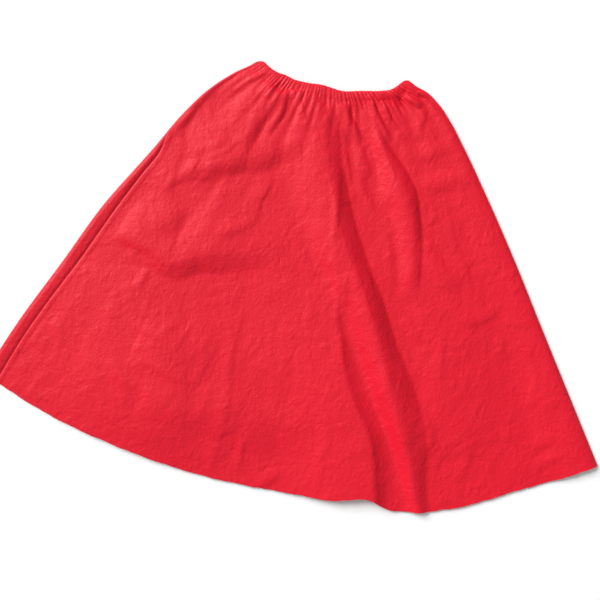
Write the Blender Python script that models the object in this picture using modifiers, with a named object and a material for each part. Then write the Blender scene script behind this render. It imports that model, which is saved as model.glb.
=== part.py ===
"""A circle skirt of thin crinkled red cotton, laid flat with its front up.

It has a front panel and a back panel, each cut as part of a wide ring, and a narrow elastic casing that
gathers them at the waist, here as its front half and its back half. The side seams are left a seam's gap
apart. The left side seam has rolled onto the top; the right one is taken to have rolled underneath.

Lengths are millimetres. A place on the skirt is given by "down", its distance below the waistline, and by
an angle from the middle line, both about the centre of the circle that the skirt was cut from.
"""

from collections import namedtuple

import bmesh
import bpy
import numpy as np

# Cloth and waist
CLOTH = 1.0
WAIST_RADIUS = 361.0
CASING_DEPTH = 19.0
CASING_INNER_GAP = 0.4
CASING_SEAM_GAP = 0.65
SEAM_GAP = 0.35
SEAM_GAP_AT_EDGE = 0.9
GATHERS = 48
APEX_X = -6.234
APEX_Y = 735.896
RED = (0.745, 0.026, 0.048, 1.0)

Edge = namedtuple("Edge", "down left right")
EDGES = [
    Edge(-6, 23.2, 23.5),
    Edge(0, 23.7, 24.2),
    Edge(15, 25.0, 25.8),
    Edge(30, 26.5, 27.8),
    Edge(60, 28.6, 29.7),
    Edge(100, 30.3, 30.7),
    Edge(150, 31.2, 31.1),
    Edge(250, 31.6, 31.3),
    Edge(390, 32.1, 31.2),
    Edge(520, 31.6, 30.9),
    Edge(650, 31.3, 30.7),
    Edge(820, 30.5, 30.5),
]

Waist = namedtuple("Waist", "angle down")
WAISTLINE = [
    Waist(-24.5, -3.5),
    Waist(-20.5, -5.5),
    Waist(-16.0, -1.5),
    Waist(0.0, -0.5),
    Waist(4.0, 4.0),
    Waist(10.0, 4.5),
    Waist(16.0, 7.5),
    Waist(19.5, 4.5),
    Waist(25.5, -3.0),
]

Hem = namedtuple("Hem", "angle front back")
HEM = [
    Hem(-31.0, 781, 781),
    Hem(-28.0, 780, 780),
    Hem(-24.0, 778, 774),
    Hem(-16.0, 772, 768),
    Hem(-8.0, 772, 767),
    Hem(1.0, 775, 768),
    Hem(5.0, 782, 771),
    Hem(9.2, 786, 776),
    Hem(9.9, 796, 778),
    Hem(12.3, 809, 787),
    Hem(16.0, 813, 796),
    Hem(23.0, 806, 800),
    Hem(28.0, 810, 810),
    Hem(31.0, 812, 812),
]

# How far the side seam has rolled in from the edge, and how far before it lies wholly on the flat
LEAST_ROLL = 12.0
Roll = namedtuple("Roll", "down inset")
SEAM_ROLL = [
    Roll(190, 0),
    Roll(210, 4),
    Roll(232, 12),
    Roll(300, 18),
    Roll(400, 25),
    Roll(600, 25),
    Roll(720, 26),
    Roll(820, 30),
]

# Height of the front where no fold crosses it, height of the side edges, and rise of the gathers: all
# the gathers at the top, half of them and then a quarter of them running on further down
Level = namedtuple("Level", "down front edge fine half quarter")
LEVELS = [
    Level(-6, 6.6, 6.6, 0.70, 0.0, 0.0),
    Level(16, 6.8, 6.6, 0.70, 0.2, 0.0),
    Level(28, 7.6, 6.5, 0.60, 0.7, 0.3),
    Level(44, 8.2, 6.4, 0.00, 1.3, 0.6),
    Level(66, 7.8, 6.2, 0.00, 1.1, 1.2),
    Level(100, 6.8, 6.0, 0.00, 0.2, 1.4),
    Level(160, 5.6, 5.6, 0.00, 0.0, 0.7),
    Level(240, 4.8, 5.3, 0.00, 0.0, 0.0),
    Level(400, 4.4, 5.2, 0.00, 0.0, 0.0),
    Level(820, 4.0, 5.0, 0.00, 0.0, 0.0),
]

# Folds that run down the front: the crest's angle, its rise, and how wide each flank is
Down = namedtuple("Down", "down angle rise left right")
MAIN_FOLD = [
    Down(30, 0.9, 0, 25, 20),
    Down(60, 0.4, 4, 30, 30),
    Down(95, 0.6, 9, 40, 40),
    Down(140, 2.0, 11, 50, 38),
    Down(185, 3.1, 9, 55, 36),
    Down(250, 5.3, 9, 60, 32),
    Down(300, 6.3, 12, 65, 36),
    Down(390, 8.6, 14, 70, 40),
    Down(490, 10.1, 13, 60, 42),
    Down(565, 10.9, 12, 40, 54),
    Down(615, 11.2, 11, 28, 46),
    Down(690, 12.0, 9, 20, 36),
    Down(740, 12.6, 8, 20, 27),
    Down(820, 13.3, 7, 20, 15),
]
SECOND_FOLD = [
    Down(40, 11.1, 0, 15, 10),
    Down(65, 11.5, 5, 20, 12),
    Down(90, 12.1, 8, 25, 14),
    Down(125, 13.8, 10, 35, 20),
    Down(175, 15.7, 11, 40, 27),
    Down(210, 16.7, 10, 40, 26),
    Down(240, 17.1, 9, 40, 20),
    Down(300, 16.7, 7, 35, 18),
    Down(360, 15.9, 4, 30, 14),
    Down(410, 15.4, 0, 25, 12),
]
HEM_FOLD = [
    Down(510, 5.3, 0, 30, 10),
    Down(563, 6.2, 4, 40, 14),
    Down(591, 7.0, 7, 45, 17),
    Down(620, 8.1, 8, 50, 22),
    Down(660, 9.1, 9, 50, 22),
    Down(706, 9.4, 9, 50, 26),
    Down(820, 9.45, 9, 50, 28),
]

# Folds that run across the front: how far down the crest is, its rise, and how wide each flank is
Across = namedtuple("Across", "angle down rise above below")
SHOULDER_FOLD = [
    Across(-26.0, 310, 0.0, 25, 40),
    Across(-22.0, 290, 3.0, 28, 55),
    Across(-18.6, 260, 4.0, 28, 60),
    Across(-13.5, 212, 4.5, 28, 60),
    Across(-6.6, 160, 4.0, 28, 50),
    Across(-1.0, 120, 2.0, 25, 40),
    Across(1.5, 105, 0.0, 20, 30),
]
LEFT_PINCH = [
    Across(-28.0, 428, 0.0, 18, 40),
    Across(-24.5, 440, 3.0, 20, 45),
    Across(-21.8, 455, 5.0, 26, 50),
    Across(-17.7, 440, 6.0, 30, 55),
    Across(-14.0, 414, 5.5, 30, 50),
    Across(-10.2, 402, 3.0, 26, 45),
    Across(-7.0, 398, 0.0, 20, 40),
]

# Where the columns of the front's form lie, so that they follow the three long folds
Column = namedtuple("Column", "down hem_crest hem_foot main_crest main_foot second_crest second_foot")
COLUMNS = [
    Column(60, -4.0, -1.8, 0.4, 5.0, 11.4, 13.0),
    Column(95, -3.4, -1.4, 0.6, 5.9, 12.2, 14.0),
    Column(125, -2.5, -0.5, 1.6, 6.5, 13.8, 16.4),
    Column(175, -1.5, 0.8, 2.9, 7.0, 15.7, 18.8),
    Column(250, 0.8, 3.0, 5.3, 8.5, 17.1, 19.3),
    Column(300, 1.8, 4.0, 6.3, 9.6, 16.7, 18.5),
    Column(400, 3.4, 5.8, 8.8, 12.0, 15.8, 17.4),
    Column(500, 5.2, 7.2, 10.2, 13.3, 17.0, 19.2),
    Column(565, 6.2, 7.2, 10.9, 14.4, 18.0, 20.5),
    Column(620, 8.1, 9.4, 11.3, 14.0, 18.5, 21.0),
    Column(700, 9.4, 10.9, 12.1, 14.1, 18.5, 21.0),
    Column(820, 9.45, 11.0, 13.3, 14.4, 18.5, 21.0),
]
COLUMN_COUNTS = (9, 2, 2, 4, 3, 3, 6)

# Rows of the panels below the casing, and how many columns each gathered row has
GATHERED_ROWS = {0: 4 * GATHERS, 12: 4 * GATHERS, 28: 2 * GATHERS, 48: 2 * GATHERS}
PLAIN_ROWS = (85, 112, 140, 175, 205, 235, 262, 300, 335, 368, 400, 425, 460, 500, 540, 580, 620, 665, 720, 780)
BACK_COLUMNS = 12

# Stations round a side fold, each as shares of the seam's inset and of the quarter turn, and millimetres.
# "edge" is for a seam that lies on the edge, "rolled" for one that has rolled in from it.
Station = namedtuple("Station", "edge_quarters edge_extra rolled_inset rolled_quarters rolled_extra")
NEAR_SEAM = [
    Station(0.0, 0, 1, 0, 0),
    Station(0.33, 0, 1, 0, 2),
    Station(0.67, 0, 1, 0, 4),
    Station(1.0, 0, 1, 0, 7),
    Station(1.0, 4, 1, 0, 11),
]
ROUND_EDGE = [
    Station(0.0, 0, -1.0, 0, 0),
    Station(0.18, 0, -0.4, -1, 0),
    Station(0.34, 0, 0, -1, 0),
    Station(0.5, 0, 0, -0.5, 0),
    Station(0.67, 0, 0, 0, 0),
    Station(0.83, 0, 0, 0.5, 0),
    Station(1.0, 0, 0, 1, 0),
    Station(1.0, 4, 0, 1, 6),
]

# Rows of each casing half, from its top fold round to its inner face: distance below the top, how far the
# row stands out from the inner face, and how many columns it has
CasingRow = namedtuple("CasingRow", "below stand columns")
CASING_ROWS = [
    CasingRow(0.0, 0.45, 2 * GATHERS),
    CasingRow(2.2, 1.0, 4 * GATHERS),
    CasingRow(16.5, 1.0, 4 * GATHERS),
    CasingRow(19.0, 0.8, 4 * GATHERS),
    CasingRow(19.0, 0.0, 24),
    CasingRow(0.6, 0.0, 24),
]


def table(rows, name):
    return np.array([getattr(row, name) for row in rows], float)


def curve(rows, key, name, at):
    """A smooth curve through the rows' values, level beyond the first and the last."""
    xs = table(rows, key)
    ys = table(rows, name)
    slopes = np.gradient(ys, xs)
    at = np.clip(np.asarray(at, float), xs[0], xs[-1])
    i = np.clip(np.searchsorted(xs, at, side="right") - 1, 0, len(xs) - 2)
    step = xs[i + 1] - xs[i]
    t = (at - xs[i]) / step
    start = ys[i] * (1 + 2 * t) * (1 - t) ** 2 + slopes[i] * step * t * (1 - t) ** 2
    end = ys[i + 1] * t**2 * (3 - 2 * t) + slopes[i + 1] * step * t**2 * (t - 1)
    return start + end


def ease(share):
    share = np.clip(share, 0, 1)
    return share * share * (3 - 2 * share)


def radius(down):
    return WAIST_RADIUS + down


def edge_angle(down, side):
    """The angle of the side edge: side is -1 on the left and 1 on the right."""
    left = -curve(EDGES, "down", "left", down)
    right = curve(EDGES, "down", "right", down)
    return np.where(side < 0, left, right)


def turn_radius(down):
    return curve(LEVELS, "down", "edge", down) / 2


def flank(distance, width, crest_power, foot_power):
    share = np.clip(np.abs(distance) / width, 0, 1)
    return (1 - share**crest_power) ** foot_power


def fold_down(rows, down, angle, crest_power, foot_power):
    """Height that a fold running down the skirt adds. Its left flank is soft; the powers shape the right."""
    crest = curve(rows, "down", "angle", down)
    lean = (curve(rows, "down", "angle", down + 1) - crest) * np.radians(1) * radius(down)
    distance = np.radians(angle - crest) * radius(down) / np.sqrt(1 + lean**2)
    left = flank(distance, curve(rows, "down", "left", down), 2, 2)
    right = flank(distance, curve(rows, "down", "right", down), crest_power, foot_power)
    inside = (down >= rows[0].down) & (down <= rows[-1].down)
    return inside * curve(rows, "down", "rise", down) * np.where(distance < 0, left, right)


def fold_across(rows, down, angle, crest_power, foot_power):
    """Height that a fold running across the skirt adds. Its lower flank is soft; the powers shape the upper."""
    crest = curve(rows, "angle", "down", angle)
    lean = (curve(rows, "angle", "down", angle + 0.1) - crest) / (np.radians(0.1) * radius(down))
    distance = (down - crest) / np.sqrt(1 + lean**2)
    above = flank(distance, curve(rows, "angle", "above", angle), crest_power, foot_power)
    below = flank(distance, curve(rows, "angle", "below", angle), 2, 2)
    inside = (angle >= rows[0].angle) & (angle <= rows[-1].angle)
    return inside * curve(rows, "angle", "rise", angle) * np.where(distance < 0, above, below)


def gather_share(across):
    """Turns a share of the width, 0 to 1, into a count of gathers that are unevenly wide."""
    uneven = 0.0032 * np.sin(2 * np.pi * 5 * across) + 0.0021 * np.sin(2 * np.pi * 12 * across + 1.3)
    return across + uneven - 0.0021 * np.sin(1.3)


def width_share(gathered):
    """The inverse of gather_share."""
    across = np.linspace(0, 1, 2001)
    return np.interp(gathered, gather_share(across), across)


def gather_rise(down, angle):
    left = edge_angle(down, -1)
    across = np.clip((angle - left) / (edge_angle(down, 1) - left), 0, 1)
    turn = 2 * np.pi * GATHERS * gather_share(across)
    uneven = 1 + 0.25 * np.sin(2 * np.pi * 3.3 * across + 0.5)
    fine = np.maximum(curve(LEVELS, "down", "fine", down), 0) * np.cos(turn)
    half = curve(LEVELS, "down", "half", down) * np.cos(turn / 2 + 0.6)
    quarter = curve(LEVELS, "down", "quarter", down) * np.cos(turn / 4 + 1.9)
    return fine, (half + quarter) * uneven


def front_height(down, angle, inward):
    """Height of the front's outer face; inward is the distance from the side edge."""
    turn = turn_radius(down)
    height = curve(LEVELS, "down", "front", down)
    height = height + fold_down(MAIN_FOLD, down, angle, 2, 1)
    height = height + fold_down(SECOND_FOLD, down, angle, 2, 1)
    height = height + fold_down(HEM_FOLD, down, angle, 1, 2)
    height = height + fold_across(SHOULDER_FOLD, down, angle, 2, 2)
    height = height + fold_across(LEFT_PINCH, down, angle, 2, 2)
    height = 2 * turn + (height - 2 * turn) * ease((inward - turn) / 35)
    fine, coarse = gather_rise(down, angle)
    return height + (fine + coarse) * ease((inward - turn) / 6)


def back_height(down, angle, inward):
    """Height of the back's outer face, which is flat where it rests, with gathers that rise from it."""
    fine = np.maximum(curve(LEVELS, "down", "fine", down), 0)
    left = edge_angle(down, -1)
    across = np.clip((angle - left) / (edge_angle(down, 1) - left), 0, 1)
    ripple = 1 + np.cos(2 * np.pi * GATHERS * gather_share(across))
    return fine * ripple * ease((inward - turn_radius(down)) / 6)


def ring_point(down, side, along):
    """Angle and height of a point on the outline round the skirt, a distance along from the side edge."""
    turn = turn_radius(down)
    quarter = turn * np.pi / 2
    swing = np.clip(along / turn, -np.pi / 2, np.pi / 2)
    inward = turn * (1 - np.cos(swing)) + np.maximum(np.abs(along) - quarter, 0)
    angle = edge_angle(down, side) - side * np.degrees(inward / radius(down))
    height = turn + turn * np.sin(swing)
    height = np.where(along > quarter, front_height(down, angle, inward), height)
    height = np.where(along < -quarter, back_height(down, angle, inward), height)
    return angle, height


def place(down, angle, height):
    spread = radius(down)
    x = APEX_X + spread * np.sin(np.radians(angle))
    y = APEX_Y - spread * np.cos(np.radians(angle))
    return np.stack([x, y, height], axis=-1) / 1000


def casing_bottom(angle):
    return curve(WAISTLINE, "angle", "down", angle) + CASING_DEPTH


def panel_down(share, angle, panel):
    top = casing_bottom(angle) + CASING_SEAM_GAP
    return top + (curve(HEM, "angle", panel, angle) - top) * share


def settle(down_at, angle_at, count):
    """Points of a row: each one's angle depends on how far down it is, and the other way round."""
    down = np.zeros(count)
    for _ in range(15):
        down = down_at(angle_at(down))
    return down, angle_at(down)


def side_along(stations, down, panel):
    """Distance of each station along the outline from the side edge, positive on top."""
    toward = 1 if panel == "front" else -1
    inset = curve(SEAM_ROLL, "down", "inset", down)
    rolled = np.clip(inset / LEAST_ROLL, 0, 1)
    inset = np.maximum(inset, LEAST_ROLL)
    quarter = turn_radius(down) * np.pi / 2
    on_edge = table(stations, "edge_quarters") * quarter + table(stations, "edge_extra")
    away = table(stations, "rolled_inset") * inset + table(stations, "rolled_quarters") * quarter
    away = away + table(stations, "rolled_extra")
    half_gap = (SEAM_GAP_AT_EDGE + (SEAM_GAP - SEAM_GAP_AT_EDGE) * rolled) / 2
    first = np.arange(len(stations)) == 0
    return toward * (on_edge + (away - on_edge) * rolled + first * half_gap)


def side_run(stations, side, panel, down_at):
    """Points round one side of a row, from the seam inwards."""

    def angle_at(down):
        return ring_point(down, side, side_along(stations, down, panel))[0]

    down = settle(down_at, angle_at, len(stations))[0]
    angle, height = ring_point(down, side, side_along(stations, down, panel))
    return down, angle, height


def gathered_angles(columns, down_at, start, stop):
    """Angles at even steps of the gathers between two angles."""
    steps = width_share(np.arange(1, columns) / columns)

    def angle_at(down):
        left = edge_angle(down, -1)
        return left + (edge_angle(down, 1) - left) * steps

    angle = settle(down_at, angle_at, columns - 1)[1]
    margin = 0.3 * (edge_angle(0, 1) - edge_angle(0, -1)) / columns
    return angle[(angle > start + margin) & (angle < stop - margin)]


def fold_angles(down_at, start, stop):
    """Angles of the front's columns, which follow the long folds between two angles."""
    which = np.repeat(np.arange(len(COLUMN_COUNTS)), COLUMN_COUNTS)
    within = np.concatenate([np.arange(count) / count for count in COLUMN_COUNTS])
    order = np.arange(len(which))

    def angle_at(down):
        keys = [curve(COLUMNS, "down", name, down) for name in Column._fields[1:]]
        keys = np.array([np.full(len(down), start)] + keys + [np.full(len(down), stop)])
        return keys[which, order] * (1 - within) + keys[which + 1, order] * within

    return settle(down_at, angle_at, len(which))[1][1:]


def even_angles(columns, start, stop):
    return np.linspace(start, stop, columns + 1)[1:-1]


def finish_row(left, middle, right, height_of, down_at):
    """A row as three runs of points: round the left side, across, and round the right side."""
    down = down_at(middle)
    inward = np.minimum(middle - edge_angle(down, -1), edge_angle(down, 1) - middle)
    height = height_of(down, middle, np.radians(inward) * radius(down))
    return [place(*left), place(down, middle, height), place(*right)[::-1]]


def panel_rows(panel):
    if panel == "front":
        left_stations, right_stations, height_of = NEAR_SEAM, ROUND_EDGE, front_height
    else:
        left_stations, right_stations, height_of = ROUND_EDGE, NEAR_SEAM, back_height
    length = 780 - CASING_DEPTH
    rows = []
    for below in sorted(GATHERED_ROWS):
        rows.append((below / length, GATHERED_ROWS[below]))
    for down in PLAIN_ROWS:
        rows.append(((down - CASING_DEPTH) / length, 0))
    made = []
    for share, columns in rows:

        def down_at(angle, share=share):
            return panel_down(share, angle, panel)

        left = side_run(left_stations, -1, panel, down_at)
        right = side_run(right_stations, 1, panel, down_at)
        start, stop = left[1][-1], right[1][-1]
        if columns:
            middle = gathered_angles(columns, down_at, start, stop)
        elif panel == "front":
            middle = fold_angles(down_at, start, stop)
        else:
            middle = even_angles(BACK_COLUMNS, start, stop)
        made.append(finish_row(left, middle, right, height_of, down_at))
    return made


def casing_rows(panel):
    height_of = front_height if panel == "front" else back_height
    sign = 1 if panel == "front" else -1
    made = []
    for row in CASING_ROWS:

        def down_at(angle, row=row):
            return curve(WAISTLINE, "angle", "down", angle) + row.below

        left = side_run(NEAR_SEAM, -1, panel, down_at)
        right = side_run(NEAR_SEAM, 1, panel, down_at)
        start, stop = left[1][-1], right[1][-1]
        if row.stand:
            middle = gathered_angles(row.columns, down_at, start, stop)
        else:
            middle = even_angles(row.columns, start, stop)
        runs = finish_row(left, middle, right, height_of, down_at)
        inner = (turn_radius(0) + sign * CASING_INNER_GAP / 2) / 1000
        for run in runs:
            run[:, 2] = inner + (run[:, 2] - inner) * row.stand
        if not row.stand:
            runs[0][0] = runs[0][0] * 0.35 + runs[0][2] * 0.65
            runs[2][-1] = runs[2][-1] * 0.35 + runs[2][-3] * 0.65
        made.append(runs)
    return made


def shares_along(points):
    steps = np.linalg.norm(np.diff(points[:, :2], axis=0), axis=1)
    total = np.concatenate([[0], np.cumsum(steps)])
    return total / total[-1]


def stitch(mesh, upper, lower, upper_share, lower_share, turned):
    """Faces between two runs of corners, which may have different counts."""
    i = 0
    j = 0
    even = len(upper) == len(lower)
    while i < len(upper) - 1 or j < len(lower) - 1:
        if even:
            corners = [upper[i], lower[j], lower[j + 1], upper[i + 1]]
            i += 1
            j += 1
        elif j == len(lower) - 1 or (i < len(upper) - 1 and upper_share[i + 1] <= lower_share[j + 1]):
            corners = [upper[i], lower[j], upper[i + 1]]
            i += 1
        else:
            corners = [upper[i], lower[j], lower[j + 1]]
            j += 1
        mesh.faces.new(corners[::-1] if turned else corners)


def add_row(mesh, runs):
    """Corners of a row's runs. A run that goes across shares its ends with the runs beside it."""
    sides = [[mesh.verts.new(point) for point in run] for run in (runs[0], runs[2])]
    across = [sides[0][-1]] + [mesh.verts.new(point) for point in runs[1]] + [sides[1][0]]
    return [sides[0], across, sides[1]]


def loft(mesh, upper, lower, turned):
    for first, second in zip(upper, lower):
        first_share = shares_along(np.array([corner.co for corner in first]))
        second_share = shares_along(np.array([corner.co for corner in second]))
        stitch(mesh, first, second, first_share, second_share, turned)


def red_cotton(name):
    material = bpy.data.materials.new(name)
    material.use_nodes = True
    shader = material.node_tree.nodes["Principled BSDF"]
    shader.inputs["Base Color"].default_value = RED
    shader.inputs["Roughness"].default_value = 0.85
    shader.inputs["Metallic"].default_value = 0.0
    material.diffuse_color = RED
    return material


def add_object(name, mesh, collection):
    data = bpy.data.meshes.new(name)
    mesh.to_mesh(data)
    mesh.free()
    data.polygons.foreach_set("use_smooth", [True] * len(data.polygons))
    data.materials.append(red_cotton("red crinkled cotton, " + name.replace("_", " ")))
    made = bpy.data.objects.new(name, data)
    collection.objects.link(made)
    return made


def add_panel(panel, collection):
    mesh = bmesh.new()
    rows = [add_row(mesh, runs) for runs in panel_rows(panel)]
    for upper, lower in zip(rows, rows[1:]):
        loft(mesh, upper, lower, panel == "back")
    made = add_object(panel + "_panel", mesh, collection)
    wall = made.modifiers.new("cloth thickness", "SOLIDIFY")
    wall.thickness = CLOTH / 1000
    wall.offset = -1
    wall.use_even_offset = True
    return made


def add_casing(panel, collection):
    mesh = bmesh.new()
    rows = [add_row(mesh, runs) for runs in casing_rows(panel)]
    for upper, lower in zip(rows, rows[1:] + rows[:1]):
        loft(mesh, upper, lower, panel == "back")
    mesh.faces.new([row[0][0] for row in rows])
    mesh.faces.new([row[2][-1] for row in rows])
    bmesh.ops.recalc_face_normals(mesh, faces=mesh.faces)
    return add_object("waist_casing_" + panel, mesh, collection)


def main():
    for leftover in list(bpy.data.objects):
        bpy.data.objects.remove(leftover)
    bpy.context.scene.unit_settings.scale_length = 1.0
    collection = bpy.data.collections.new("circle_skirt")
    bpy.context.scene.collection.children.link(collection)
    for panel in ("front", "back"):
        add_panel(panel, collection)
        add_casing(panel, collection)


main()
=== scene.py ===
"""Circle skirt of thin crinkled red cotton, laid flat with its front up.

Makes the two panels and the two halves of the elastic casing as thin cloth over their solids, the sewn
line below the casing, and the stage. Lengths in the tables are millimetres. A place on the skirt is given
by "down", its distance below the waistline, and by an angle from the middle line, both about the centre
of the circle that the skirt was cut from.
"""

from collections import namedtuple

import bmesh
import bpy
import numpy as np
from bpy.props import FloatProperty, IntProperty, PointerProperty
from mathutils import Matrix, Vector, noise


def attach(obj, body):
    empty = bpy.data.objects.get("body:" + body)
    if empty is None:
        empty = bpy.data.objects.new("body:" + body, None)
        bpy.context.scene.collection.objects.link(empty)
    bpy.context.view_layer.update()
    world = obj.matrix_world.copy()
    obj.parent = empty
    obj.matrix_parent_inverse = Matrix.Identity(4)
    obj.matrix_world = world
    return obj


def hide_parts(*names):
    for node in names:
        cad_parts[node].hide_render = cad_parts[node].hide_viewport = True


bl_info = {
    "name": "Circle Skirt",
    "version": (1, 0, 0),
    "blender": (4, 5, 0),
    "location": "3D View > Sidebar > Circle Skirt",
    "description": "Builds a circle skirt of crinkled cotton with a gathered elastic waist, laid flat",
    "category": "Add Mesh",
}

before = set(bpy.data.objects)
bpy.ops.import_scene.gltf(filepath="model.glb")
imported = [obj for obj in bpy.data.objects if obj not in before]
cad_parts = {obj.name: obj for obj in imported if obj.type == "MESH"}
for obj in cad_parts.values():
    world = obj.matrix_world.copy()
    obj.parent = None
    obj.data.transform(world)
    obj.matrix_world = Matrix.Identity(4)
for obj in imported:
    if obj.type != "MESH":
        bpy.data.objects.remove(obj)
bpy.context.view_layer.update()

# Sizes of the cut in millimetres, and its gathers, as the solids have them
WAIST_RADIUS = 361.0
CASING_DEPTH = 19.0
CASING_INNER_GAP = 0.4
GATHERS = 48
APEX_X = -6.234
APEX_Y = 735.896

# The seams are drawn closer than in the solids. The last number is the sewn length of each casing half.
CASING_SEAM_GAP = 0.12
SEAM_GAP = 0.3
SEWN_LENGTH = 290.0

Edge = namedtuple("Edge", "down left right")
EDGES = [
    Edge(-6, 23.2, 23.5),
    Edge(0, 23.7, 24.2),
    Edge(15, 25.0, 25.8),
    Edge(30, 26.5, 27.8),
    Edge(60, 28.6, 29.7),
    Edge(100, 30.3, 30.7),
    Edge(150, 31.2, 31.1),
    Edge(250, 31.6, 31.3),
    Edge(390, 32.1, 31.2),
    Edge(520, 31.6, 30.9),
    Edge(650, 31.3, 30.7),
    Edge(820, 30.5, 30.5),
]

Waist = namedtuple("Waist", "angle down")
WAISTLINE = [
    Waist(-25.0, 6.0),
    Waist(-23.7, 0.0),
    Waist(-22.7, -5.0),
    Waist(-21.4, -7.4),
    Waist(-20.2, -5.0),
    Waist(-18.5, -2.4),
    Waist(-16.4, -0.8),
    Waist(-13.9, -2.0),
    Waist(-11.2, 0.3),
    Waist(-7.6, -0.2),
    Waist(-1.6, -1.8),
    Waist(0.2, 0.2),
    Waist(2.7, 3.9),
    Waist(10.0, 4.5),
    Waist(16.0, 7.8),
    Waist(18.0, 8.2),
    Waist(20.0, 4.8),
    Waist(21.6, 0.2),
    Waist(22.9, -2.2),
    Waist(23.9, -0.6),
    Waist(25.5, 5.0),
]

Hem = namedtuple("Hem", "angle front back")
HEM = [
    Hem(-31.0, 781, 781),
    Hem(-28.0, 780, 780),
    Hem(-24.0, 778, 774),
    Hem(-16.0, 772, 768),
    Hem(-8.0, 772, 767),
    Hem(1.0, 775, 768),
    Hem(5.0, 782, 771),
    Hem(9.2, 786, 776),
    Hem(9.9, 796, 778),
    Hem(12.3, 809, 787),
    Hem(16.0, 813, 796),
    Hem(23.0, 806, 800),
    Hem(28.0, 810, 810),
    Hem(31.0, 812, 812),
]

# How far the side seam has rolled in from the edge
Roll = namedtuple("Roll", "down inset")
SEAM_ROLL = [
    Roll(190, 0),
    Roll(210, 4),
    Roll(232, 12),
    Roll(300, 18),
    Roll(400, 25),
    Roll(600, 25),
    Roll(720, 26),
    Roll(820, 30),
]

# Height of the front where no fold crosses it, height of the side edges, and rise of the wide gathers
Level = namedtuple("Level", "down front edge half quarter")
LEVELS = [
    Level(-6, 8.4, 6.6, 0.0, 0.0),
    Level(16, 8.8, 6.6, 0.1, 0.0),
    Level(28, 8.2, 6.5, 0.3, 0.1),
    Level(44, 7.1, 6.4, 0.5, 0.3),
    Level(66, 6.0, 6.2, 0.4, 0.6),
    Level(100, 5.1, 6.0, 0.1, 0.6),
    Level(160, 4.7, 5.6, 0.0, 0.3),
    Level(240, 4.7, 5.3, 0.0, 0.0),
    Level(400, 4.4, 5.2, 0.0, 0.0),
    Level(820, 4.0, 5.0, 0.0, 0.0),
]

# How deep the valleys after each gather are, from the left edge to the right one
Valley = namedtuple("Valley", "gather share")
GATHER_DEPTHS = [
    Valley(0, 0.3),
    Valley(5, 0.4),
    Valley(9, 0.9),
    Valley(13, 0.7),
    Valley(19, 0.5),
    Valley(24, 0.7),
    Valley(29, 1.2),
    Valley(36, 1.6),
    Valley(43, 1.9),
    Valley(47, 1.3),
]

# Folds that run down the front: the crest's angle, its rise, and how wide each flank is
Down = namedtuple("Down", "down angle rise left right")
MAIN_FOLD = [
    Down(24, 0.0, 0, 40, 16),
    Down(61, -0.3, 4.5, 70, 26),
    Down(95, 0.2, 7.5, 80, 30),
    Down(136, 1.2, 10.5, 90, 31),
    Down(212, 3.4, 12.5, 90, 31),
    Down(268, 4.8, 13, 80, 33),
    Down(325, 6.5, 14, 70, 32),
    Down(403, 8.8, 16, 58, 33),
    Down(500, 10.5, 16, 52, 36),
    Down(578, 11.4, 17, 42, 47),
    Down(636, 12.1, 16, 36, 46),
    Down(713, 12.8, 11, 28, 36),
    Down(770, 13.0, 8, 22, 24),
    Down(820, 13.2, 7, 20, 20),
]
SECOND_FOLD = [
    Down(40, 10.8, 0, 15, 10),
    Down(65, 11.3, 3, 20, 12),
    Down(90, 12.1, 5, 20, 15),
    Down(125, 13.6, 6.5, 24, 20),
    Down(175, 15.5, 9, 38, 27),
    Down(210, 16.6, 10, 45, 27),
    Down(240, 17.1, 9, 40, 22),
    Down(300, 16.9, 6, 35, 19),
    Down(360, 16.1, 4, 30, 16),
    Down(410, 15.5, 0, 25, 14),
]
HEM_FOLD = [
    Down(250, 3.8, 0, 150, 22),
    Down(360, 4.6, 3.2, 185, 28),
    Down(440, 5.1, 5.6, 190, 36),
    Down(510, 5.8, 8.4, 190, 40),
    Down(563, 6.6, 10.6, 190, 43),
    Down(610, 7.6, 12.3, 190, 43),
    Down(660, 8.8, 13.4, 190, 44),
    Down(706, 9.1, 13.4, 195, 44),
    Down(820, 9.2, 12.2, 200, 44),
]

# The hollow between the upper parts of the main fold and the second fold
MAIN_TROUGH = [
    Down(30, 7.5, 0.0, 30, 12),
    Down(50, 9.2, -2.2, 48, 14),
    Down(90, 10.9, -3.4, 60, 16),
    Down(124, 12.0, -3.6, 66, 18),
    Down(165, 12.9, -3.0, 66, 24),
    Down(212, 13.4, -1.6, 66, 30),
    Down(280, 13.6, 0.0, 60, 34),
]

# A hollow just inside the left edge, below the waist
LEFT_HOLLOW = [
    Down(45, -25.4, 0.0, 12, 30),
    Down(85, -27.4, -1.8, 15, 34),
    Down(130, -28.7, -2.4, 17, 40),
    Down(185, -29.4, -2.2, 17, 40),
    Down(300, -29.7, -1.6, 20, 45),
    Down(400, -30.2, -1.5, 22, 45),
    Down(520, -30.0, -1.3, 22, 45),
    Down(650, -29.9, -1.2, 22, 45),
    Down(820, -29.2, -1.2, 22, 45),
]

# The front stands a little proud beside the right edge and rolls down to it
RIGHT_ROLL = [
    Down(50, 26.6, 0.0, 30, 14),
    Down(100, 28.4, 2.4, 50, 16),
    Down(180, 29.2, 2.6, 52, 19),
    Down(250, 29.3, 2.4, 50, 20),
    Down(390, 29.6, 3.2, 50, 22),
    Down(520, 29.4, 4.0, 55, 24),
    Down(650, 29.2, 5.4, 66, 30),
    Down(820, 29.0, 6.2, 70, 34),
]

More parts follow.
